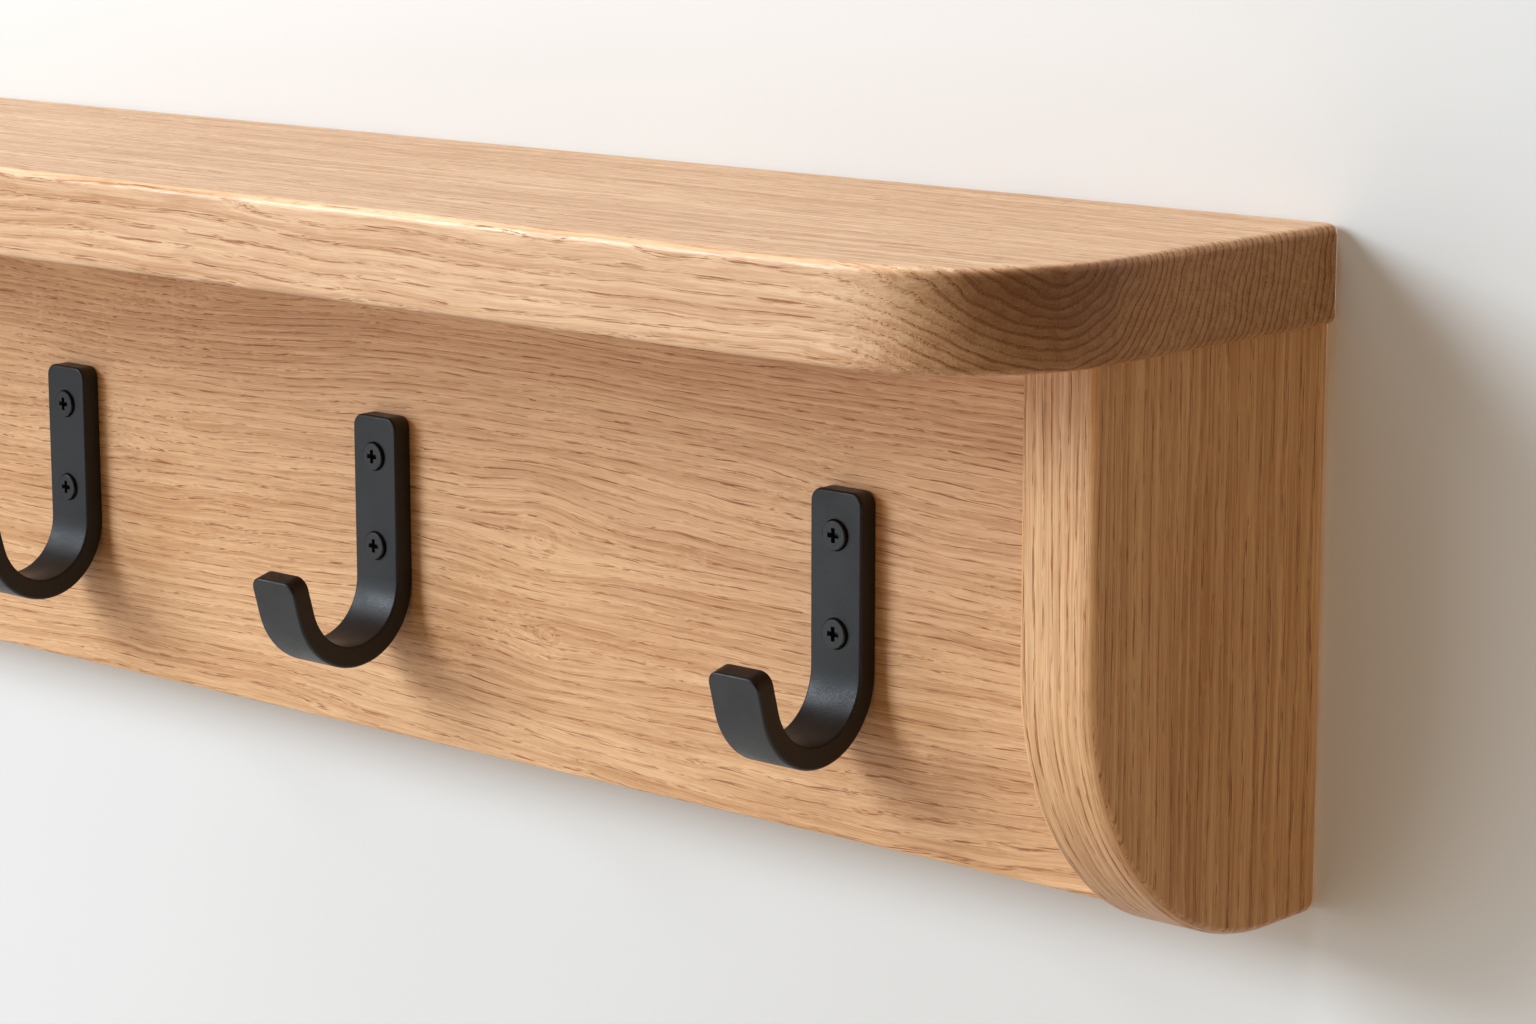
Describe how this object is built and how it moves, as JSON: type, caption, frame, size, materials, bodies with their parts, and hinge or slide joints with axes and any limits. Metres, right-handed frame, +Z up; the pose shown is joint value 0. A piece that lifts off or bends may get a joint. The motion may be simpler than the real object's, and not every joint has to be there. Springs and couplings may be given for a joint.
{
  "type": "wall hook rack",
  "caption": "Wall-mounted oak shelf on curved side brackets, with a back board that carries black flat-bar J hooks.",
  "frame": {"origin": "on the wall plane, at the middle of the shelf's rear face", "axes": "+X along the rack to the right as seen from the front, +Y into the wall, +Z up; the front faces -Y"},
  "size_m": [0.86, 0.155, 0.197],
  "materials": {
    "oak_shelf": "satin oiled oak, grain along X",
    "oak_board": "satin oiled oak, grain along X",
    "oak_bracket": "satin oiled oak, grain along Z",
    "powder_coat": "fine-textured matte black powder coat",
    "black_screw": "black oxide, satin",
    "beech_dowel": "plain beech",
    "zinc_steel": "zinc-plated steel"
  },
  "bodies": {
    "root": {"shelf": "oak_shelf", "back_board": "oak_board", "bracket_left": "oak_bracket", "bracket_right": "oak_bracket", "hook_1": "powder_coat", "hook_2": "powder_coat", "hook_3": "powder_coat", "hook_4": "powder_coat", "hook_1_screw_upper": "black_screw", "hook_1_screw_lower": "black_screw", "hook_2_screw_upper": "black_screw", "hook_2_screw_lower": "black_screw", "hook_3_screw_upper": "black_screw", "hook_3_screw_lower": "black_screw", "hook_4_screw_upper": "black_screw", "hook_4_screw_lower": "black_screw", "dowels_shelf_board": "beech_dowel", "dowels_shelf_left": "beech_dowel", "dowels_board_left": "beech_dowel", "hanger_plate_left": "zinc_steel", "hanger_screws_left": "zinc_steel", "dowels_shelf_right": "beech_dowel", "dowels_board_right": "beech_dowel", "hanger_plate_right": "zinc_steel", "hanger_screws_right": "zinc_steel"}
  },
  "joints": []
}
